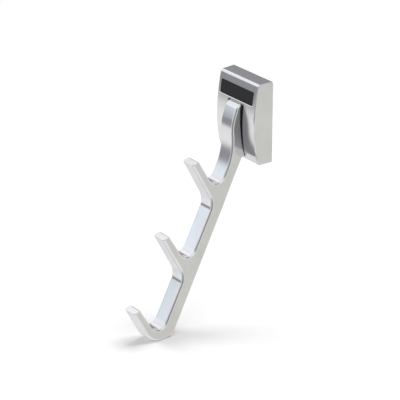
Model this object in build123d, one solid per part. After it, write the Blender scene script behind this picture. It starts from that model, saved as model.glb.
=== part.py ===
from build123d import *
import os
from math import atan, cos, degrees, radians, sin, sqrt, tan

# Waterfall hook rack in millimetres: a cast arm with upturned prongs that step down and
# forward, screwed into the slot of a hollow block that hooks over a steel wall plate.
# X is the width, Y points into the wall and Z is up. The origin is the middle of the
# block's back face, on the wall.

# Housing: the hollow block
housing_width = 46.0
housing_height = 62.5
crown_depth = 16.3
brow_depth = 12.4
chin_depth = 11.6
chin_height = 7.0
side_draft = 4.4
housing_wall = 2.7
brow_radius = 2.2
housing_edge = 0.9

# Inlay window and its sill
inlay_width = 37.2
inlay_height = 10.2
inlay_drop = 6.2
inlay_thickness = 1.0
inlay_corner = 0.8
inlay_margin = 0.15
inlay_sink = 0.2
adhesive_gap = 0.1
sill_height = 1.2
sill_proud = 0.5
sill_overhang = 1.0
sill_edge = 0.3

# Slot for the arm, cut down through the front
slot_drop = 0.4
slot_bottom_margin = 2.7
slot_side_gap_top = 1.7
slot_side_gap_bottom = 0.7
slot_end_gap = 0.4
slot_corner = 0.8
seat_plane_depth = 10.0
seat_web = 3.0
pocket_wall = 2.5

# Arm: root, stem and back
root_width = 14.7
foot_width = 13.4
prong_draft = 1.3
arm_nose_depth = 19.1
arm_crest_depth = 24.9
arm_crest_drop = 15.35
crest_lean = 4.6
stem_lean = 27.4
arm_heel_depth = 15.9
knee_drop = 32.0
back_lean_upper = 24.8
back_lean_lower = 27.1
nose_radius = 2.5
crest_radius = 18.0
waist_radius = 42.0
knee_radius = 300.0

# Arm: the prongs
hook_count = 3
hook_pitch = 58.1
first_vee_depth = 36.7
first_vee_drop = 23.65
bowl_radius = 7.1
prong_inner_lean = 30.4
prong_outer_lean = 28.4
prong_reach = 33.6
tip_length = 6.5
tip_fall = 12.0
prong_root_step = 6.5
prong_root_radius = 14.0
foot_radius = 15.6
foot_rise = 9.0
foot_thickness = 8.5
foot_back_radius = 4.0

# Arm: edges
outer_edge_radius = 1.8
seat_edge = 0.9
tip_edge = 0.4

# Screws from behind that hold the arm
arm_screw_radius = 2.5
arm_screw_length = 10.0
arm_screw_drop = 7.85
arm_screw_rise = 13.15
arm_screw_head_radius = 4.6
arm_screw_head_height = 2.8
arm_screw_socket = 3.0
arm_screw_clearance = 0.3
thread_gap = 0.1
drill_allowance = 1.2
socket_depth_share = 0.6

# Wall plate and the screw that locks the housing on it
plate_thickness = 2.5
plate_width = 36.0
plate_margin = 7.25
plate_corner = 3.0
plate_bend_radius = 0.6
hook_flange_reach = 9.5
hook_flange_lip = 3.0
lock_flange_reach = 6.5
lock_flange_width = 16.0
wall_hole_radius = 2.4
wall_hole_spacing = 32.0
countersink_radius = 3.9
rib_count = 3
rib_pitch = 12.0
rib_thickness = 2.2
running_gap = 0.2
lock_screw_radius = 2.0
lock_screw_depth = 4.4
lock_screw_socket = 2.0
lock_screw_sink = 0.6
lock_boss_radius = 3.6
lock_boss_gap = 2.2

# Values that follow
half_height = housing_height / 2
crown_rise = crown_depth - brow_depth
front_radius = (half_height**2 + crown_rise**2) / (2 * crown_rise)
front_centre = front_radius - crown_depth
inlay_z = half_height - inlay_drop - inlay_height / 2
sill_z = inlay_z - inlay_height / 2 - sill_height / 2
slot_top = sill_z - sill_height / 2 - slot_drop
slot_bottom = slot_bottom_margin - half_height
arm_top = slot_top - slot_end_gap
arm_heel_z = slot_bottom + slot_end_gap
arm_crest_z = arm_top - arm_crest_drop
first_vee_z = arm_heel_z - first_vee_drop
arm_screw_z = (arm_top - arm_screw_drop, arm_heel_z + arm_screw_rise)
half_plate = half_height - plate_margin


def forward(point, lean, length):
    """The point that lies a length away, on a line that leans forward from straight up."""
    return (point[0] - length * sin(radians(lean)), point[1] + length * cos(radians(lean)))


def meet(p, lean_p, q, lean_q):
    """Where two lines cross, each given by a point and its lean forward from straight up."""
    slope_p = -tan(radians(lean_p))
    slope_q = -tan(radians(lean_q))
    z = (q[0] - p[0] + slope_p * p[1] - slope_q * q[1]) / (slope_p - slope_q)
    return (p[0] + slope_p * (z - p[1]), z)


def block(inset):
    """The drafted block with its bulging front, smaller by an inset on every side but the back."""
    top = half_height - inset
    radius = front_radius - inset
    brow = front_centre - sqrt(radius**2 - top**2)
    outline = Polyline((brow, -top), (inset, -top), (inset, top), (brow, top))
    front = ThreePointArc((brow, top), (front_centre - radius, 0), (brow, -top))
    side_view = make_face(Plane.YZ * (outline + front))
    body = extrude(side_view, housing_width / 2, both=True)
    half = housing_width / 2 - inset
    taper = tan(radians(side_draft))
    deep = 2 * crown_depth
    plan = Polyline(
        (-half - taper * inset, inset),
        (half + taper * inset, inset),
        (half - taper * deep, -deep),
        (-half + taper * deep, -deep),
        close=True,
    )
    return body & extrude(make_face(plan), housing_height, both=True)


def front_layer(outer, inner):
    """A layer that follows the bulging front, from one depth under it to another."""
    ring = Circle(front_radius - outer) - Circle(front_radius - inner)
    layer = extrude(Plane.YZ * Pos(front_centre, 0) * ring, housing_width, both=True)
    return layer & Pos(0, -crown_depth, 0) * Box(2 * housing_width, crown_depth, housing_height)


def front_bar(shape, z):
    """A bar through the front, with a given shape as seen from ahead."""
    return extrude(Plane.XZ * Pos(0, z) * shape, 2 * crown_depth)


def cut_chin(body):
    """Turns the front under along the bottom edge."""
    crease_z = chin_height - half_height
    crease = front_centre - sqrt(front_radius**2 - crease_z**2)
    slope = (crease + chin_depth) / chin_height
    low = -chin_depth - slope * chin_height
    outline = Polyline(
        (crease, crease_z),
        (low, -half_height - chin_height),
        (2 * crease, -half_height - chin_height),
        (2 * crease, crease_z),
        close=True,
    )
    return body - extrude(Plane.YZ * make_face(outline), housing_width, both=True)


def outer_block():
    """The block's outside, with its brow rounded and its edges eased."""
    body = cut_chin(block(0))
    brow = body.edges().filter_by(Axis.X).sort_by(Axis.Z)[-2:].sort_by(Axis.Y)[0]
    body = fillet(brow, brow_radius)
    rim = [e for e in body.edges() if not on_back(e)]
    return chamfer(rim, housing_edge)


def on_back(edge):
    """Is the edge in the wall plane, tangent to a rounded neighbour, or a crease that stays crisp?"""
    box = edge.bounding_box()
    in_wall = box.max.Y > -0.01 and box.min.Y > -0.01
    across = box.size.X > housing_width / 2
    low_edge = box.min.Z < 0.01 - half_height
    return in_wall or (across and not low_edge)


def arm_pocket():
    """The solid that the slot's walls and the arm's seat are cut in, inside the hollow."""
    half = root_width / 2 + slot_side_gap_top + pocket_wall
    low = slot_bottom - slot_bottom_margin
    high = slot_top + pocket_wall
    back = seat_plane_depth - seat_web
    box = Box(2 * half, crown_depth - back, high - low, align=(Align.CENTER, Align.MAX, Align.MIN))
    return Pos(0, -back, low) * box & block(housing_edge)


def arm_slot():
    """The slot, a little narrower at its lower end, down to the arm's seat."""
    top = root_width / 2 + slot_side_gap_top
    low = root_width / 2 + slot_side_gap_bottom
    corners = [(-low, slot_bottom), (low, slot_bottom), (top, slot_top), (-top, slot_top)]
    shape = make_face(Polyline(*corners, close=True))
    shape = fillet(shape.vertices(), slot_corner)
    return extrude(Plane.XZ.offset(seat_plane_depth) * shape, crown_depth)


def hook_ribs():
    """Ribs under the top wall that hang the housing on the plate's upper flange."""
    depth = hook_flange_reach - 2 * plate_thickness - plate_bend_radius - 2 * running_gap
    drop = half_height - half_plate
    rib = Box(rib_thickness, depth, drop, align=(Align.CENTER, Align.MAX, Align.MIN))
    spots = GridLocations(rib_pitch, 0, rib_count, 1)
    return [Pos(0, -plate_thickness - running_gap, half_plate) * spot * rib for spot in spots]


def lock_boss():
    """The thick spot in the bottom wall that the locking screw is threaded through."""
    height = half_height - half_plate - lock_boss_gap
    low = Pos(0, -lock_screw_depth, -half_height)
    return low * Cylinder(lock_boss_radius, height, align=(Align.CENTER, Align.CENTER, Align.MIN))


def make_housing():
    """The hollow cast block, with its window, sill, slot, ribs and screw holes."""
    sill = front_layer(-sill_proud, housing_wall)
    sill &= front_bar(Rectangle(inlay_width + 2 * sill_overhang, sill_height), sill_z)
    sill = chamfer(sill.faces().sort_by(Axis.Y)[0].edges().filter_by(Axis.X), sill_edge)
    shell = outer_block() - block(housing_wall)
    shell += arm_pocket()
    shell += [*hook_ribs(), lock_boss(), sill]
    shell &= block(0) + sill
    recess = front_layer(-sill_proud, inlay_sink + inlay_thickness + adhesive_gap)
    recess &= front_bar(RectangleRounded(inlay_width, inlay_height, inlay_corner), inlay_z)
    shell -= recess
    shell -= arm_slot()
    screw_bore = arm_screw_radius + arm_screw_clearance
    for z in arm_screw_z:
        shell -= Pos(0, -seat_plane_depth, z) * Rot(90, 0, 0) * Cylinder(screw_bore, 4 * seat_web)
    shell -= Pos(0, -lock_screw_depth, -half_height) * Cylinder(lock_screw_radius, half_height / 2)
    return shell


def make_inlay():
    """The dark insert, bowed like the front."""
    plate = front_layer(inlay_sink, inlay_sink + inlay_thickness)
    width = inlay_width - 2 * inlay_margin
    height = inlay_height - 2 * inlay_margin
    return plate & front_bar(RectangleRounded(width, height, inlay_corner - inlay_margin), inlay_z)


def vee(i):
    """The sharp corner under a bowl, where the prong's inner line meets the front of the stem."""
    return forward((-first_vee_depth, first_vee_z), 180 - stem_lean, i * hook_pitch)


def tips(i):
    """The inner and outer corners of a prong's tip."""
    inner = forward(vee(i), prong_inner_lean, prong_reach)
    return inner, forward(inner, 90 + tip_fall, tip_length)


def front_corners():
    """The front of the arm from the nose to the lowest tip, as corners with a radius each."""
    crest = (-arm_crest_depth, arm_crest_z)
    waist = meet(crest, crest_lean, vee(0), -stem_lean)
    corners = [((-arm_nose_depth, arm_top), nose_radius), (crest, crest_radius), (waist, waist_radius)]
    for i in range(hook_count):
        inner_tip, outer_tip = tips(i)
        corners += [(vee(i), bowl_radius), (inner_tip, 0), (outer_tip, 0)]
        if i < hook_count - 1:
            root = (vee(i)[0] - prong_root_step, 0)
            corners += [
                (meet(outer_tip, prong_outer_lean, root, 0), prong_root_radius),
                (meet(root, 0, vee(i), -stem_lean), 0),
            ]
    return corners


def back_corners():
    """The arm from under the lowest tip round the foot and up the back to the seat."""
    last = vee(hook_count - 1)
    spread = radians((stem_lean + prong_inner_lean) / 2)
    bowl_low = last[1] + bowl_radius / sin(spread) - bowl_radius
    foot = (last[0], bowl_low - foot_thickness)
    heel = (-arm_heel_depth, arm_heel_z)
    knee = forward(heel, 180 - back_lean_upper, knee_drop / cos(radians(back_lean_upper)))
    outer_tip = tips(hook_count - 1)[1]
    return [
        (meet(outer_tip, prong_outer_lean, foot, foot_rise - 90), foot_radius),
        (meet(foot, foot_rise - 90, knee, -back_lean_lower), foot_back_radius),
        (knee, knee_radius),
        (heel, 0),
        ((-seat_plane_depth, arm_heel_z), 0),
        ((-seat_plane_depth, arm_top), 0),
    ]


def arm_envelope():
    """A bar along the stem, narrower towards the foot, whose sides draft in towards the tips."""
    length = hook_pitch * (hook_count - 1) + (arm_heel_z - first_vee_z) / cos(radians(stem_lean))
    reach = prong_reach + tip_length + bowl_radius
    taper = degrees(atan((root_width - foot_width) / 2 / length))
    along = (0, -sin(radians(back_lean_lower)), -cos(radians(back_lean_lower)))
    stem_plane = Plane((0, -arm_heel_depth, arm_heel_z), x_dir=(1, 0, 0), z_dir=along)
    side = Pos(root_width / 2, 0, 0) * Rot(0, -taper, prong_draft)
    bar = Box(2 * root_width, 2 * reach, 4 * length, align=(Align.MAX, Align.CENTER, Align.CENTER))
    right = stem_plane * side * bar
    return right & mirror(right, about=Plane.YZ)


def side_edges(arm, corner):
    """The edges that run along both sides of the arm from a corner of a prong's tip."""
    long_ones = [e for e in arm.edges() if e.bounding_box().size.Z > tip_length]
    return [e for e in long_ones if min(span(e @ 0, corner), span(e @ 1, corner)) < 0.01]


def span(point, corner):
    """How far a point is from a corner of the outline, seen from the side."""
    return Vector(0, point.Y - corner[0], point.Z - corner[1]).length


def ease_tip(arm, i):
    """Takes the sharpness off the rim of a prong's tip."""
    inner_tip, outer_tip = tips(i)
    middle = (Vector(0, *inner_tip) + Vector(0, *outer_tip)) / 2
    tip = arm.faces().sort_by_distance(middle)[0]
    return chamfer(tip.edges(), tip_edge)


def make_arm():
    """The cast arm: root, stem and prongs in one piece, with two tapped holes in its root."""
    corners = front_corners() + back_corners()
    points = [point for point, _ in corners]
    radii = [radius for _, radius in corners]
    outline = FilletPolyline(*points, radius=radii, close=True)
    arm = extrude(Plane.YZ * make_face(outline), root_width, both=True) & arm_envelope()
    for i in range(hook_count):
        arm = fillet(side_edges(arm, tips(i)[1]), outer_edge_radius)
    for i in range(hook_count):
        arm = chamfer(side_edges(arm, tips(i)[0]), seat_edge)
    for i in range(hook_count):
        arm = ease_tip(arm, i)
    bore_depth = arm_screw_length - seat_web + drill_allowance
    seat = Plane.XZ.offset(seat_plane_depth)
    for z in arm_screw_z:
        arm -= seat * Pos(0, z, bore_depth / 2) * Cylinder(arm_screw_radius, bore_depth)
    return arm


def socket_screw(radius, length, head_radius, head_height):
    """A button-headed socket screw along Z, with its head's flat underside at zero."""
    head = Cylinder(head_radius, head_height, align=(Align.CENTER, Align.CENTER, Align.MAX))
    head = chamfer(head.edges().sort_by(Axis.Z)[0], head_height / 2)
    shank = Cylinder(radius, length, align=(Align.CENTER, Align.CENTER, Align.MIN))
    return head + shank - Pos(0, 0, -head_height) * hex_socket(arm_screw_socket)


def hex_socket(across_flats):
    """The recess for a hexagonal key, from zero up."""
    key = RegularPolygon(across_flats / 2, 6, major_radius=False)
    return extrude(key, socket_depth_share * across_flats)


def make_arm_screw(z):
    """A screw through the seat into the arm's root."""
    screw = socket_screw(
        arm_screw_radius - thread_gap, arm_screw_length, arm_screw_head_radius, arm_screw_head_height
    )
    return Plane.XZ.offset(seat_plane_depth - seat_web) * Pos(0, z) * screw


def make_locking_screw():
    """The grub screw in the bottom wall, whose tip presses on the plate's lower flange."""
    low = lock_screw_sink - half_height
    length = -half_plate - low
    screw = Cylinder(lock_screw_radius - thread_gap, length, align=(Align.CENTER, Align.CENTER, Align.MIN))
    screw = chamfer(screw.edges().sort_by(Axis.Z)[-1], lock_screw_radius / 5)
    return Pos(0, -lock_screw_depth, low) * (screw - hex_socket(lock_screw_socket))


def make_wall_plate():
    """The bent steel plate: a hooked flange on top, a short flange below and two wall holes."""
    skin = plate_thickness / 2
    bend = plate_bend_radius + skin
    top = half_plate - skin
    hook = FilletPolyline(
        (skin - hook_flange_reach, half_plate + hook_flange_lip),
        (skin - hook_flange_reach, top),
        (-skin, top),
        (-skin, -half_plate),
        radius=bend,
    )
    foot = FilletPolyline((-skin, 0), (-skin, -top), (-lock_flange_reach, -top), radius=bend)
    plate = extrude(Plane.YZ * trace(hook, plate_thickness), plate_width / 2, both=True)
    low_edges = plate.edges().filter_by(Axis.Y).sort_by(Axis.Z)[:2]
    plate = fillet(low_edges, plate_corner)
    plate += extrude(Plane.YZ * trace(foot, plate_thickness), lock_flange_width / 2, both=True)
    sink = countersink_radius - wall_hole_radius
    for spot in GridLocations(0, wall_hole_spacing, 1, 2):
        hole = Cylinder(wall_hole_radius, 4 * plate_thickness)
        cone = Pos(0, 0, plate_thickness - sink / 2) * Cone(wall_hole_radius, countersink_radius, sink)
        plate -= Plane.XZ * spot * (hole + cone)
    return plate


def main():
    """Builds every piece and writes it."""
    pieces = {
        "housing": make_housing(),
        "inlay": make_inlay(),
        "arm": make_arm(),
        "wall_plate": make_wall_plate(),
        "locking_screw": make_locking_screw(),
    }
    for number, z in enumerate(arm_screw_z, start=1):
        pieces[f"arm_screw_{number}"] = make_arm_screw(z)
    os.makedirs("parts", exist_ok=True)
    for name, shape in pieces.items():
        export_step(shape, f"parts/{name}.step")


main()
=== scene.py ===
"""Waterfall hook rack: the finish of every piece, the studio and the camera."""

import logging
import math
from dataclasses import dataclass
from enum import Enum

import bmesh
import bpy
from mathutils import Matrix, Vector

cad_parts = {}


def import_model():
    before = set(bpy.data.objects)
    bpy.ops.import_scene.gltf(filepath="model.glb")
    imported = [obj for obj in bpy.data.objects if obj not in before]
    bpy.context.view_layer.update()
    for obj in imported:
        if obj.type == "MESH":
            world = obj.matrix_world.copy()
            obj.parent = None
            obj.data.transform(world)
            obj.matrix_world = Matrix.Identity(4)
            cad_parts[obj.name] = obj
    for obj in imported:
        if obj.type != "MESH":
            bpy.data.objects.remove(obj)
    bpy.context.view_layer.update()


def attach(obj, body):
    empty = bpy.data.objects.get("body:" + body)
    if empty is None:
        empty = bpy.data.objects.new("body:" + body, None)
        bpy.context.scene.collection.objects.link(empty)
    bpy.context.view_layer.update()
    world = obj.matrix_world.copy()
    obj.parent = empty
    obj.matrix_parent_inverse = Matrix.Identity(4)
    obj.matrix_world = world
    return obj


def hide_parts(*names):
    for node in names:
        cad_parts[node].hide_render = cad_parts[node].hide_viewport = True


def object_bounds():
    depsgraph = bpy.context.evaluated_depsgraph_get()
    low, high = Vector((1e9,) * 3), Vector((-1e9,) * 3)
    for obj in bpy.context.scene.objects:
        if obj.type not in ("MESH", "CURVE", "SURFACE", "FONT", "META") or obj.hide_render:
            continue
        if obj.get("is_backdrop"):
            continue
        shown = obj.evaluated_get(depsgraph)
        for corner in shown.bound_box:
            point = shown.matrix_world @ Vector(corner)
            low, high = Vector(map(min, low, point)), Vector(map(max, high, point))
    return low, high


LOG = logging.getLogger("hook_rack")
MM = 0.001
BODY = "root"

# Two corners of the arm that are closer than this, in millimetres, are one corner.
SAME_PLACE = 0.01

# The face layer for how much a face sways the shading round it: -1 is least and 1 is most.
FACE_SWAY = "__mod_weightednormals_faceweight"

Axes = tuple[float, float, float]
Colour = tuple[float, float, float]
Span = tuple[float, float]
Socket = bpy.types.NodeSocket

ORIGIN: Axes = (0.0, 0.0, 0.0)
EVEN: Axes = (1.0, 1.0, 1.0)
WHITE: Colour = (1.0, 1.0, 1.0)


class Slot(Enum):
    """The record's material slots."""

    METAL = "satin_metal"
    INLAY = "dark_inlay"
    PLATE = "plated_steel"
    SCREW = "screw_steel"


class Graph:
    """A small helper that adds nodes to a material or world and joins them."""

    noise_middle: Span = (0.25, 0.75)

    def __init__(self, tree: bpy.types.NodeTree) -> None:
        """Starts from an empty tree."""
        self.tree = tree
        tree.nodes.clear()

    def add(self, kind: str, **settings: object) -> bpy.types.Node:
        """Adds a node.

        Args:
            kind: the node's type name.
            settings: properties of the node, such as its operation.

        Returns:
            The new node.
        """
        node = self.tree.nodes.new(kind)
        for name, value in settings.items():
            setattr(node, name, value)
        return node

    def set(self, node: bpy.types.Node, **values: object) -> bpy.types.Node:
        """Sets sockets of a node by name, with underscores for spaces.

        Args:
            node: the node.
            values: socket name to a value, or to a socket that feeds it.

        Returns:
            The same node.
        """
        for name, value in values.items():
            socket = node.inputs[name.replace("_", " ")]
            if isinstance(value, Socket):
                self.tree.links.new(value, socket)
            else:
                socket.default_value = value
        return node

    def noise(self, place: Socket, scale: float, detail: float) -> Socket:
        """Adds fractal noise.

        Args:
            place: where the noise is read.
            scale: waves to the metre.
            detail: octaves.

        Returns:
            The noise's value, about 0.5 on average.
        """
        node = self.add("ShaderNodeTexNoise")
        return self.set(node, Vector=place, Scale=scale, Detail=detail).outputs["Fac"]

    def spread(self, value: Socket, low: float, high: float) -> Socket:
        """Maps the middle half of a noise value to a range.

        Args:
            value: the noise.
            low: the result at a quarter.
            high: the result at three quarters.

        Returns:
            The mapped value.
        """
        first, last = self.noise_middle
        node = self.add("ShaderNodeMapRange")
        self.set(node, Value=value, From_Min=first, From_Max=last, To_Min=low, To_Max=high)
        return node.outputs["Result"]

    def fade(self, value: Socket, between: Span, results: Span) -> Socket:
        """Passes smoothly from one result to another.

        Args:
            value: what the result depends on.
            between: the values at which the passage begins and ends.
            results: the result before the passage and the one after it.

        Returns:
            The result.
        """
        (first, last), (before, after) = between, results
        node = self.add("ShaderNodeMapRange", interpolation_type="SMOOTHSTEP")
        self.set(node, Value=value, From_Min=first, From_Max=last, To_Min=before, To_Max=after)
        return node.outputs["Result"]

    def distance(self, place: Socket, centre: Axes | Vector, stretch: Axes) -> Socket:
        """Measures how far a place is from a centre.

        Args:
            place: the place.
            centre: the centre.
            stretch: a factor for each axis, above 1 where a distance counts for more.

        Returns:
            The distance.
        """
        offset = self.add("ShaderNodeVectorMath", operation="SUBTRACT")
        self.tree.links.new(place, offset.inputs[0])
        offset.inputs[1].default_value = centre
        scaled = self.add("ShaderNodeVectorMath", operation="MULTIPLY")
        self.tree.links.new(offset.outputs[0], scaled.inputs[0])
        scaled.inputs[1].default_value = stretch
        length = self.add("ShaderNodeVectorMath", operation="LENGTH")
        self.tree.links.new(scaled.outputs[0], length.inputs[0])
        return length.outputs["Value"]

    def calculate(self, operation: str, first: Socket, second: Socket) -> Socket:
        """Works out one value from two.

        Args:
            operation: the kind of sum, such as MULTIPLY.
            first: the first value.
            second: the second value.

        Returns:
            The result.
        """
        node = self.add("ShaderNodeMath", operation=operation)
        self.tree.links.new(first, node.inputs[0])
        self.tree.links.new(second, node.inputs[1])
        return node.outputs[0]

    def shown_rays(self) -> Socket:
        """Finds the rays that show a thing: seen straight, in a mirror or through glass.

        Returns:
            1 for such a ray, and 0 for a ray that only carries light.
        """
        path = self.add("ShaderNodeLightPath")
        glass = path.outputs["Is Transmission Ray"]
        seen = self.calculate("MAXIMUM", path.outputs["Is Camera Ray"], glass)
        return self.calculate("MAXIMUM", seen, path.outputs["Is Glossy Ray"])

    def mix(self, amount: Socket, first: Colour | Socket, second: Colour | Socket) -> Socket:
        """Mixes two colours.

        Args:
            amount: 0 for the first colour and 1 for the second.
            first: the first colour, or a socket that gives it.
            second: the second colour, or a socket that gives it.

        Returns:
            The mixed colour.
        """
        node = self.add("ShaderNodeMix", data_type="RGBA")
        self.tree.links.new(amount, node.inputs[0])
        for socket, colour in ((node.inputs[6], first), (node.inputs[7], second)):
            if isinstance(colour, Socket):
                self.tree.links.new(colour, socket)
            else:
                socket.default_value = (*colour, 1)
        return node.outputs[2]

    def relief(self, height: Socket, rise: float, strength: float) -> Socket:
        """Turns a value into a fine relief.

        Args:
            height: the value.
            rise: how high the relief is, in millimetres.
            strength: how much of it shows, up to 1.

        Returns:
            The direction that the surface seems to face.
        """
        node = self.add("ShaderNodeBump")
        self.set(node, Height=height, Distance=rise * MM, Strength=strength)
        return node.outputs["Normal"]

    def principled(self, **values: object) -> Socket:
        """Adds the surface's shader.

        Args:
            values: its sockets, as set takes them.

        Returns:
            The shader.
        """
        return self.set(self.add("ShaderNodeBsdfPrincipled"), **values).outputs["BSDF"]

    def surface(self, shader: Socket) -> None:
        """Ends a material in its shader."""
        self.set(self.add("ShaderNodeOutputMaterial"), Surface=shader)


def new_material(name: str) -> tuple[bpy.types.Material, Graph]:
    """Adds a material that has no nodes yet.

    Args:
        name: the material's name.

    Returns:
        The material and its nodes.
    """
    material = bpy.data.materials.new(name)
    material.use_nodes = True
    return material, Graph(material.node_tree)


def new_object(work: bmesh.types.BMesh, name: str, finish: bpy.types.Material) -> bpy.types.Object:
    """Turns a worked shape into an object of the scene, at the origin.

    Args:
        work: the shape in metres, which is freed.
        name: the name of the object and of its mesh.
        finish: the object's material.

    Returns:
        The object.
    """
    mesh = bpy.data.meshes.new(name)
    work.to_mesh(mesh)
    work.free()
    mesh.materials.append(finish)
    made = bpy.data.objects.new(name, mesh)
    bpy.context.scene.collection.objects.link(made)
    return made


@dataclass(frozen=True)
class SatinMetal:
    """Satin plate on a die casting: fine blasted grain under a soft sheen, a little uneven."""

    light: Colour = (0.79, 0.79, 0.80)
    dark: Colour = (0.72, 0.72, 0.73)
    roughness: Span = (0.18, 0.25)
    grain_scale: float = 2600.0
    grain_detail: float = 3.0
    grain_rise: float = 0.012
    grain_strength: float = 0.6
    patch_scale: float = 60.0
    patch_detail: float = 4.0

    def material(self) -> bpy.types.Material:
        """Builds the finish.

        Returns:
            The material.
        """
        material, graph = new_material("satin_plate")
        place = graph.add("ShaderNodeTexCoord").outputs["Object"]
        grain = graph.noise(place, self.grain_scale, self.grain_detail)
        patch = graph.noise(place, self.patch_scale, self.patch_detail)
        graph.surface(graph.principled(
            Metallic=1.0,
            Base_Color=graph.mix(graph.spread(patch, 0.0, 1.0), self.dark, self.light),
            Roughness=graph.spread(grain, *self.roughness),
            Normal=graph.relief(grain, self.grain_rise, self.grain_strength),
        ))
        return material


@dataclass(frozen=True)
class CharcoalInlay:
    """Matt charcoal sheet with a fine speckle."""

    dark: Colour = (0.009, 0.009, 0.0095)
    light: Colour = (0.019, 0.019, 0.020)
    roughness: float = 0.66
    sheen: float = 0.28
    speckle_scale: float = 2200.0
    speckle_detail: float = 2.0
    speckle_rise: float = 0.01
    speckle_strength: float = 0.5

    def material(self) -> bpy.types.Material:
        """Builds the finish.

        Returns:
            The material.
        """
        material, graph = new_material("charcoal_sheet")
        place = graph.add("ShaderNodeTexCoord").outputs["Object"]
        speckle = graph.noise(place, self.speckle_scale, self.speckle_detail)
        graph.surface(graph.principled(
            Base_Color=graph.mix(graph.spread(speckle, 0.0, 1.0), self.dark, self.light),
            Specular_IOR_Level=self.sheen,
            Roughness=self.roughness,
            Normal=graph.relief(speckle, self.speckle_rise, self.speckle_strength),
        ))
        return material


@dataclass(frozen=True)
class PlatedSteel:
    """Zinc-plated steel: a bright skin, faintly clouded, with drawn lines that run upright."""

    name: str
    bright: Colour
    dull: Colour
    roughness: Span
    cloud_scale: float = 140.0
    cloud_detail: float = 5.0
    line_scale: float = 900.0
    line_detail: float = 2.0
    line_stretch: Axes = (1.0, 1.0, 0.06)
    line_rise: float = 0.006
    line_strength: float = 0.5

    def material(self) -> bpy.types.Material:
        """Builds the finish.

        Returns:
            The material.
        """
        material, graph = new_material(self.name)
        place = graph.add("ShaderNodeTexCoord").outputs["Object"]
        drawn = graph.set(graph.add("ShaderNodeMapping"), Vector=place, Scale=self.line_stretch)
        cloud = graph.noise(place, self.cloud_scale, self.cloud_detail)
        lines = graph.noise(drawn.outputs["Vector"], self.line_scale, self.line_detail)
        graph.surface(graph.principled(
            Metallic=1.0,
            Base_Color=graph.mix(graph.spread(cloud, 0.0, 1.0), self.dull, self.bright),
            Roughness=graph.spread(cloud, *self.roughness),
            Normal=graph.relief(lines, self.line_rise, self.line_strength),
        ))
        return material


@dataclass
class FinishedNode:
    """A CAD node copied as one welded mesh: its rounds shade smoothly and its flats stay flat.

    Where eased_tilt is given, a face that leans that far to a side belongs to the eased strip
    between the front, top or bottom and a side, and shades from the one to the other.
    """

    node: str
    slot: Slot
    finish: bpy.types.Material
    eased_tilt: Span | None = None
    weld: float = 0.002 * MM
    flat_angle: float = math.radians(0.4)
    curve_angle: float = math.radians(20)
    eased_angle: float = math.radians(56)

    def build(self) -> None:
        """Makes the piece that stands for the node."""
        work = bmesh.new()
        work.from_mesh(bpy.data.objects[self.node].data)
        bmesh.ops.remove_doubles(work, verts=work.verts, dist=self.weld)
        bmesh.ops.dissolve_degenerate(work, edges=work.edges, dist=self.weld)
        bmesh.ops.dissolve_limit(
            work,
            angle_limit=self.flat_angle,
            verts=work.verts,
            edges=work.edges,
            use_dissolve_boundaries=False,
        )
        sway = work.faces.layers.int.new(FACE_SWAY)
        for face in work.faces:
            face.smooth = True
            face.material_index = 0
            face[sway] = -1 if self._is_eased(face) else 1
        for edge in work.edges:
            edge.smooth = self._runs_on(edge)
        piece = new_object(work, f"{self.node}_skin", self.finish)
        normals = piece.modifiers.new("even_shading", "WEIGHTED_NORMAL")
        normals.keep_sharp = True
        normals.use_face_influence = True
        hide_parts(self.node)
        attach(piece, BODY)
        LOG.info("%s: %d faces", piece.name, len(piece.data.polygons))

    def _runs_on(self, edge: bmesh.types.BMEdge) -> bool:
        """Does the surface shade on over an edge: within a curve, or onto an eased strip?

        Args:
            edge: an edge of the welded mesh.

        Returns:
            True where both faces share their shading.
        """
        if len(edge.link_faces) != 2:
            return False
        angle = edge.calc_face_angle()
        first, second = (self._is_eased(face) for face in edge.link_faces)
        return angle < self.curve_angle or (angle < self.eased_angle and first != second)

    def _is_eased(self, face: bmesh.types.BMFace) -> bool:
        """Is a face part of an eased strip?

        Args:
            face: a face of the welded mesh.

        Returns:
            True if it leans to a side as far as eased_tilt says.
        """
        if self.eased_tilt is None:
            return False
        low, high = self.eased_tilt
        return low < abs(face.normal.x) < high


def forward(point: Vector, lean: float, length: float) -> Vector:
    """The point a length away on a line that leans forward, in degrees, from straight up."""
    turn = math.radians(lean)
    return point + length * Vector((-math.sin(turn), math.cos(turn)))


def meet(first: Vector, lean_first: float, second: Vector, lean_second: float) -> Vector:
    """Finds where two lines of the side view cross.

    Args:
        first: a point of the first line.
        lean_first: the first line's lean forward from straight up, in degrees.
        second: a point of the second line.
        lean_second: the second line's lean.

    Returns:
        The crossing.
    """
    slope_first = -math.tan(math.radians(lean_first))
    slope_second = -math.tan(math.radians(lean_second))
    height = second.x - first.x + slope_first * first.y - slope_second * second.y
    height /= slope_first - slope_second
    return Vector((first.x + slope_first * (height - first.y), height))


def rounded(
    before: Vector, corner: Vector, after: Vector, radius: float, step: float
) -> list[Vector]:
    """Rounds one corner of an outline.

    Args:
        before: the corner before.
        corner: the corner itself.
        after: the corner after.
        radius: the radius of the tangent arc, or 0 to keep the corner.
        step: the largest turn between two points, in radians.

    Returns:
        The points that stand for the corner.
    """
    if radius == 0:
        return [corner]
    back, on = (before - corner).normalized(), (after - corner).normalized()
    half = back.angle(on) / 2
    centre = corner + (back + on).normalized() * radius / math.sin(half)
    first = corner + back * radius / math.tan(half) - centre
    last = corner + on * radius / math.tan(half) - centre
    sweep = math.pi - 2 * half
    count = max(2, math.ceil(sweep / step))
    turns = [sweep * k / count for k in range(count + 1)]
    return [
        centre + (first * math.sin(sweep - turn) + last * math.sin(turn)) / math.sin(sweep)
        for turn in turns
    ]


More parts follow.
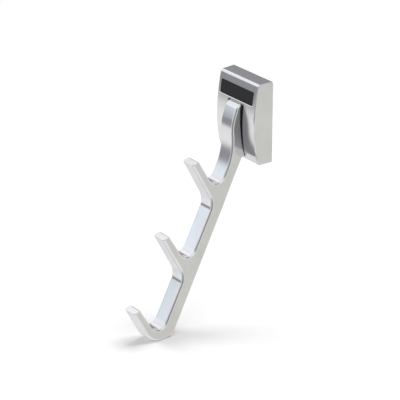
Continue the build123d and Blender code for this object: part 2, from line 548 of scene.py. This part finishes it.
@dataclass
class CastArm:
    """The cast arm: root, stem and upturned prongs, with soft rounds along both sides.

    Sizes are in millimetres and leans in degrees, forward from straight up. A place in the
    side view is its distance from the wall, below 0, and its height.
    """

    finish: bpy.types.Material
    width_at_root: float = 14.9
    width_at_foot: float = 14.2
    prong_draft: float = 1.3
    seat_depth: float = 10.0
    top: float = 13.15
    heel: Span = (-15.5, -28.15)
    nose_depth: float = 19.1
    nose_radius: float = 5.0
    crest: Span = (-24.9, -2.5)
    crest_lean: float = 4.6
    crest_radius: float = 26.0
    waist_radius: float = 48.0
    stem_lean: float = 27.4
    back_lean_upper: float = 24.8
    back_lean_lower: float = 27.1
    knee_drop: float = 32.0
    knee_radius: float = 300.0
    hook_count: int = 3
    hook_pitch: float = 58.1
    first_vee: Span = (-37.13, -51.08)
    bowl_radius: float = 7.1
    prong_inner_lean: float = 30.4
    prong_outer_lean: float = 28.4
    prong_reach: float = 32.76
    tip_length: float = 6.5
    tip_fall: float = 12.0
    root_step: float = 5.8
    root_radius: float = 14.0
    crease_radius: float = 7.5
    foot_radius: float = 15.6
    foot_rise: float = 9.0
    foot_thickness: float = 9.2
    foot_back_radius: float = 4.0
    outer_round: float = 3.0
    side_round: float = 1.8
    tip_round: float = 0.9
    round_segments: int = 6
    screw_heights: tuple[float, ...] = (5.0, -15.0)
    bore_radius: float = 2.5
    bore_depth: float = 8.2
    bore_segments: int = 32
    turn_step: float = math.radians(5)
    smooth_angle: float = math.radians(20)

    def vee(self, i: int) -> Vector:
        """The sharp corner under a bowl."""
        return forward(Vector(self.first_vee), 180 - self.stem_lean, i * self.hook_pitch)

    def tips(self, i: int) -> tuple[Vector, Vector]:
        """The inner and outer corners of a prong's tip."""
        inner = forward(self.vee(i), self.prong_inner_lean, self.prong_reach)
        return inner, forward(inner, 90 + self.tip_fall, self.tip_length)

    def corners(self) -> list[tuple[Vector, float]]:
        """Finds the outline's corners, from the nose round the prongs and up the back.

        Returns:
            Each corner with the radius that rounds it.
        """
        nose, crest = Vector((-self.nose_depth, self.top)), Vector(self.crest)
        waist = meet(crest, self.crest_lean, self.vee(0), -self.stem_lean)
        found = [
            (nose, self.nose_radius), (crest, self.crest_radius), (waist, self.waist_radius)
        ]
        for i in range(self.hook_count):
            found += self._hook(i)
        return found + self._foot_and_back()

    def _hook(self, i: int) -> list[tuple[Vector, float]]:
        """Finds the corners of a bowl, its prong and the stem under it.

        Args:
            i: the hook's number from the top.

        Returns:
            Each corner with its radius.
        """
        inner, outer = self.tips(i)
        found = [(self.vee(i), self.bowl_radius), (inner, 0), (outer, 0)]
        if i < self.hook_count - 1:
            root = Vector((self.vee(i).x - self.root_step, 0))
            found += [
                (meet(outer, self.prong_outer_lean, root, 0), self.root_radius),
                (meet(root, 0, self.vee(i), -self.stem_lean), self.crease_radius),
            ]
        return found

    def _foot_and_back(self) -> list[tuple[Vector, float]]:
        """Finds the corners from the foot up the arm's back and round its root.

        Returns:
            Each corner with its radius.
        """
        lowest, heel = self.hook_count - 1, Vector(self.heel)
        last, outer_tip = self.vee(lowest), self.tips(lowest)[1]
        opening = math.radians((self.stem_lean + self.prong_inner_lean) / 2)
        bowl_low = last.y + self.bowl_radius / math.sin(opening) - self.bowl_radius
        foot = Vector((last.x, bowl_low - self.foot_thickness))
        drop = self.knee_drop / math.cos(math.radians(self.back_lean_upper))
        knee = forward(heel, 180 - self.back_lean_upper, drop)
        under = self.foot_rise - 90
        return [
            (meet(outer_tip, self.prong_outer_lean, foot, under), self.foot_radius),
            (meet(foot, under, knee, -self.back_lean_lower), self.foot_back_radius),
            (knee, self.knee_radius),
            (heel, 0),
            (Vector((-self.seat_depth, heel.y)), 0),
            (Vector((-self.seat_depth, self.top)), 0),
        ]

    def outline(self) -> list[Vector]:
        """Rounds the corners.

        Returns:
            The points of the side view's outline.
        """
        corners = self.corners()
        points: list[Vector] = []
        for i, (corner, radius) in enumerate(corners):
            before, after = corners[i - 1][0], corners[(i + 1) % len(corners)][0]
            points += rounded(before, corner, after, radius, self.turn_step)
        return points

    def half_width(self, place: Vector) -> float:
        """Works out half the arm's width from its taper and its draft.

        Args:
            place: a place in the side view.

        Returns:
            Half the width there, in millimetres.
        """
        lean = math.radians(self.back_lean_lower)
        offset = place - Vector(self.heel)
        along = offset.dot(Vector((-math.sin(lean), -math.cos(lean))))
        out = offset.dot(Vector((-math.cos(lean), math.sin(lean))))
        to_first = (self.heel[1] - self.first_vee[1]) / math.cos(math.radians(self.stem_lean))
        length = self.hook_pitch * (self.hook_count - 1) + to_first
        taper = (self.width_at_root - self.width_at_foot) / 2 / length
        draft = math.tan(math.radians(self.prong_draft))
        return self.width_at_root / 2 - taper * along - draft * out

    def build(self) -> None:
        """Extrudes the outline, opens the screw holes in the seat and rounds the sides."""
        work = bmesh.new()
        side = work.faces.new([work.verts.new((0, p.x, p.y)) for p in self.outline()])
        grown = bmesh.ops.extrude_face_region(work, geom=[side])["geom"]
        right = {item for item in grown if isinstance(item, bmesh.types.BMVert)}
        for vert in work.verts:
            half = self.half_width(vert.co.yz)
            vert.co.x = half if vert in right else -half
        bmesh.ops.recalc_face_normals(work, faces=work.faces)
        shares = work.edges.layers.float.new("bevel_weight_edge")
        tip_corners = [corner for i in range(self.hook_count) for corner in self.tips(i)]
        for edge in work.edges:
            edge[shares] = self._round_share(edge, tip_corners)
        self._bore_holes(work)
        for face in work.faces:
            face.smooth = True
        for edge in work.edges:
            curved = len(edge.link_faces) == 2 and edge.calc_face_angle() < self.smooth_angle
            edge.smooth = curved or edge[shares] > 0
        bmesh.ops.scale(work, verts=work.verts, vec=(MM, MM, MM))
        piece = new_object(work, "arm_skin", self.finish)
        rounds = piece.modifiers.new("rounds", "BEVEL")
        rounds.limit_method = "WEIGHT"
        rounds.width = self.outer_round * MM
        rounds.segments = self.round_segments
        rounds.use_clamp_overlap = False
        rounds.harden_normals = True
        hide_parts("arm")
        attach(piece, BODY)
        LOG.info("arm_skin: %d faces before its rounds", len(piece.data.polygons))

    def _round_share(self, edge: bmesh.types.BMEdge, tip_corners: list[Vector]) -> float:
        """Works out how much of the full round an edge takes.

        The full round runs along the faces that lean as a prong's outer face does. It fades
        to the sides' own round where they turn straight ahead, and again under the foot.

        Args:
            edge: an edge of the extruded outline.
            tip_corners: the corners of the prongs' tips.

        Returns:
            1 along a prong's outer face, less along the other sides and round a tip, and 0
            across the arm and in the slot.
        """
        ends = [vert.co.yz for vert in edge.verts]
        if all(min((end - tip).length for tip in tip_corners) < SAME_PLACE for end in ends):
            return self.tip_round / self.outer_round
        across = abs(edge.verts[0].co.x - edge.verts[1].co.x) > self.width_at_foot / 2
        in_slot = max(end.x for end in ends) > -self.seat_depth - SAME_PLACE
        at_top = min(end.y for end in ends) > self.top - SAME_PLACE
        if across or (in_slot and not at_top):
            return 0.0
        facing = min((face.normal for face in edge.link_faces), key=lambda way: abs(way.x))
        tilt = math.degrees(math.atan2(-facing.z, -facing.y))
        full, under = self.prong_outer_lean, 90 - self.foot_rise
        share = max(min(tilt / full, (under - tilt) / (under - full), 1.0), 0.0)
        least = self.side_round / self.outer_round
        return least + (1 - least) * share

    def _bore_holes(self, work: bmesh.types.BMesh) -> None:
        """Opens the tapped holes in the seat.

        Args:
            work: the arm in millimetres.
        """
        nearly_seat = -self.seat_depth - SAME_PLACE
        seat = next(f for f in work.faces if min(v.co.y for v in f.verts) > nearly_seat)
        rim = list(seat.edges)
        work.faces.remove(seat)
        face_wall = Matrix.Rotation(math.pi / 2, 4, "X")
        for height in self.screw_heights:
            ring = bmesh.ops.create_circle(
                work,
                segments=self.bore_segments,
                radius=self.bore_radius,
                matrix=Matrix.Translation((0, -self.seat_depth, height)) @ face_wall,
            )["verts"]
            edges = {edge for vert in ring for edge in vert.link_edges}
            rim += edges
            wall = bmesh.ops.extrude_edge_only(work, edges=list(edges))["geom"]
            deep = [item for item in wall if isinstance(item, bmesh.types.BMVert)]
            bottom = [item for item in wall if isinstance(item, bmesh.types.BMEdge)]
            bmesh.ops.translate(work, verts=deep, vec=(0, -self.bore_depth, 0))
            bmesh.ops.contextual_create(work, geom=bottom)
        bmesh.ops.triangle_fill(work, use_beauty=True, edges=rim)
        bmesh.ops.recalc_face_normals(work, faces=work.faces)


@dataclass(frozen=True)
class Floor:
    """A pale floor just under the lowest hook, which fades to the white of the background."""

    size: float = 6.0
    gap: float = 0.2 * MM
    fade: Span = (0.30, 0.70)
    colour: Colour = (0.92, 0.92, 0.92)
    roughness: float = 0.6

    def build(self) -> None:
        """Adds the floor."""
        low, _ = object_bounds()
        work = bmesh.new()
        bmesh.ops.create_grid(work, x_segments=1, y_segments=1, size=self.size / 2)
        bmesh.ops.translate(work, verts=work.verts, vec=(0, 0, low.z - self.gap))
        floor = new_object(work, "floor", self._material())
        floor.visible_glossy = False
        floor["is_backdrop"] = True

    def _material(self) -> bpy.types.Material:
        """Builds the floor's finish.

        Returns:
            A material that takes the object's shadow, and is plain white further out.
        """
        material, graph = new_material("white_floor")
        place = graph.add("ShaderNodeTexCoord").outputs["Object"]
        far = graph.fade(graph.distance(place, ORIGIN, EVEN), self.fade, (0.0, 1.0))
        painted = graph.principled(Base_Color=(*self.colour, 1), Roughness=self.roughness)
        white = graph.add("ShaderNodeEmission").outputs["Emission"]
        blend = graph.add("ShaderNodeMixShader")
        faded = graph.calculate("MULTIPLY", far, graph.shown_rays())
        for socket, source in zip(blend.inputs, (faded, painted, white)):
            graph.tree.links.new(source, socket)
        graph.surface(blend.outputs["Shader"])
        return material


@dataclass(frozen=True)
class Lamp:
    """A square soft lamp that no metal mirrors, with its side in metres and power in watts."""

    name: str
    place: Axes
    size: float
    power: float

    def build(self, aim: Vector) -> None:
        """Adds the lamp.

        Args:
            aim: the point that it faces.
        """
        data = bpy.data.lights.new(self.name, "AREA")
        data.shape = "SQUARE"
        data.size = self.size
        data.energy = self.power
        lamp = bpy.data.objects.new(self.name, data)
        lamp.location = self.place
        lamp.rotation_euler = (aim - Vector(self.place)).to_track_quat("-Z", "Y").to_euler()
        lamp.visible_glossy = False
        bpy.context.scene.collection.objects.link(lamp)


@dataclass(frozen=True)
class Panel:
    """A soft-edged patch of the studio's surround, as polished metal mirrors it.

    Distances are those between directions of length 1, stretched along each axis. The colour
    is full up to the first distance in reach and gone at the second.
    """

    name: str
    towards: Axes
    stretch: Axes
    reach: Span
    colour: Colour

    def lay_over(self, graph: Graph, direction: Socket, under: Colour | Socket) -> Socket:
        """Lays the panel over what the surround shows without it.

        Args:
            graph: the world's nodes.
            direction: where a ray goes.
            under: the colour without the panel.

        Returns:
            The colour with the panel.
        """
        away = graph.distance(direction, Vector(self.towards).normalized(), self.stretch)
        return graph.mix(graph.fade(away, self.reach, (1.0, 0.0)), under, self.colour)


@dataclass(frozen=True)
class Studio:
    """A floor, soft lamps and a pale surround with a few grey panels."""

    floor: Floor = Floor()
    lamps: tuple[Lamp, ...] = (
        Lamp("overhead", (0.2, 0.5, 1.9), 1.6, 38.0),
        Lamp("left_front", (-1.6, -1.6, 0.9), 1.4, 36.0),
    )
    ambient: float = 0.30
    panels: tuple[Panel, ...] = (
        Panel("front_wall", (0.05, -1.0, 0.0), EVEN, (0.35, 0.72), (0.74, 0.74, 0.75)),
        Panel("right_back_wall", (0.72, 0.56, -0.41), EVEN, (0.35, 0.75), (0.74, 0.74, 0.70)),
        Panel("left_window", (-0.72, -0.66, 0.36), (1, 1, 1.2), (0.30, 0.65), (1.04, 1.11, 1.19)),
        Panel("overhead", (-0.70, 0.34, 0.66), EVEN, (0.28, 0.55), (1.20, 1.20, 1.22)),
        Panel("left_sill", (-0.76, -0.62, -0.075), (1, 1, 2.4), (0.28, 0.60), (0.30, 0.30, 0.32)),
        Panel("left_back_wall", (-0.74, 0.62, 0.16), (1, 1, 0.8), (0.24, 0.48), (0.30, 0.30, 0.32)),
        Panel("left_floor", (-0.72, 0.04, -0.69), EVEN, (0.30, 0.55), (0.89, 0.89, 0.90)),
        Panel("left_back_floor", (-0.68, 0.60, -0.42), EVEN, (0.20, 0.42), (0.32, 0.32, 0.33)),
        Panel("right_back_ceiling", (0.41, 0.56, 0.72), EVEN, (0.25, 0.50), (0.20, 0.20, 0.21)),
        Panel("camera_side", (0.70, -0.70, -0.16), (1, 1, 0.8), (0.38, 0.70), (0.27, 0.27, 0.28)),
    )

    def build(self, aim: Vector) -> None:
        """Adds the floor, the lamps and the world.

        Args:
            aim: the point that the lamps face.
        """
        self.floor.build()
        for lamp in self.lamps:
            lamp.build(aim)
        self._surround()
        LOG.info("surround: white with %s", ", ".join(panel.name for panel in self.panels))

    def _surround(self) -> None:
        """Sets the world: white where it is seen, white with soft panels where it is mirrored."""
        world = bpy.data.worlds.new("surround")
        bpy.context.scene.world = world
        world.use_nodes = True
        graph = Graph(world.node_tree)
        direction = graph.add("ShaderNodeTexCoord").outputs["Generated"]
        mirrored: Colour | Socket = WHITE
        for panel in self.panels:
            mirrored = panel.lay_over(graph, direction, mirrored)
        in_mirror = graph.add("ShaderNodeLightPath").outputs["Is Glossy Ray"]
        level = graph.set(
            graph.add("ShaderNodeMapRange"),
            Value=graph.shown_rays(),
            To_Min=self.ambient,
            To_Max=1.0,
        )
        light = graph.set(
            graph.add("ShaderNodeBackground"),
            Color=graph.mix(in_mirror, WHITE, mirrored),
            Strength=level.outputs["Result"],
        )
        graph.set(graph.add("ShaderNodeOutputWorld"), Surface=light.outputs["Background"])


@dataclass(frozen=True)
class PhotoCamera:
    """The camera at the photograph's angle, aimed at the object's place."""

    azimuth: float = math.radians(52.436)
    elevation: float = math.radians(24.344)
    distance: float = 1.5
    sensor_mm: float = 36.0
    focal_mm: float = 183.47
    clip: Span = (0.05, 50.0)
    aim: Axes = (-0.01197, -0.03913, -0.06301)

    def build(self) -> None:
        """Adds the camera and makes it the scene's own."""
        data = bpy.data.cameras.new("camera")
        data.sensor_width = self.sensor_mm
        data.lens = self.focal_mm
        data.clip_start, data.clip_end = self.clip
        camera = bpy.data.objects.new("camera", data)
        back = Vector((
            math.sin(self.azimuth) * math.cos(self.elevation),
            -math.cos(self.azimuth) * math.cos(self.elevation),
            math.sin(self.elevation),
        ))
        camera.location = Vector(self.aim) + back * self.distance
        camera.rotation_euler = (-back).to_track_quat("-Z", "Y").to_euler()
        bpy.context.scene.collection.objects.link(camera)
        bpy.context.scene.camera = camera


def main() -> None:
    """Dresses every piece, then adds the studio and the camera."""
    logging.basicConfig(level=logging.INFO, format="%(name)s %(message)s")
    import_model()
    metal = SatinMetal().material()
    inlay = CharcoalInlay().material()
    plate = PlatedSteel(
        "zinc_plate", bright=(0.66, 0.67, 0.68), dull=(0.52, 0.53, 0.55), roughness=(0.26, 0.40)
    ).material()
    screw = PlatedSteel(
        "screw_plate", bright=(0.36, 0.36, 0.38), dull=(0.24, 0.24, 0.26), roughness=(0.28, 0.42)
    ).material()
    FinishedNode("housing", Slot.METAL, metal, eased_tilt=(0.3, 0.92)).build()
    for node, slot, finish in (
        ("inlay", Slot.INLAY, inlay),
        ("wall_plate", Slot.PLATE, plate),
        ("arm_screw_1", Slot.SCREW, screw),
        ("arm_screw_2", Slot.SCREW, screw),
        ("locking_screw", Slot.SCREW, screw),
    ):
        FinishedNode(node, slot, finish).build()
    CastArm(metal).build()
    camera = PhotoCamera()
    camera.build()
    Studio().build(Vector(camera.aim))
    bpy.context.scene.view_settings.view_transform = "Standard"


if __name__ == "__main__":
    main()
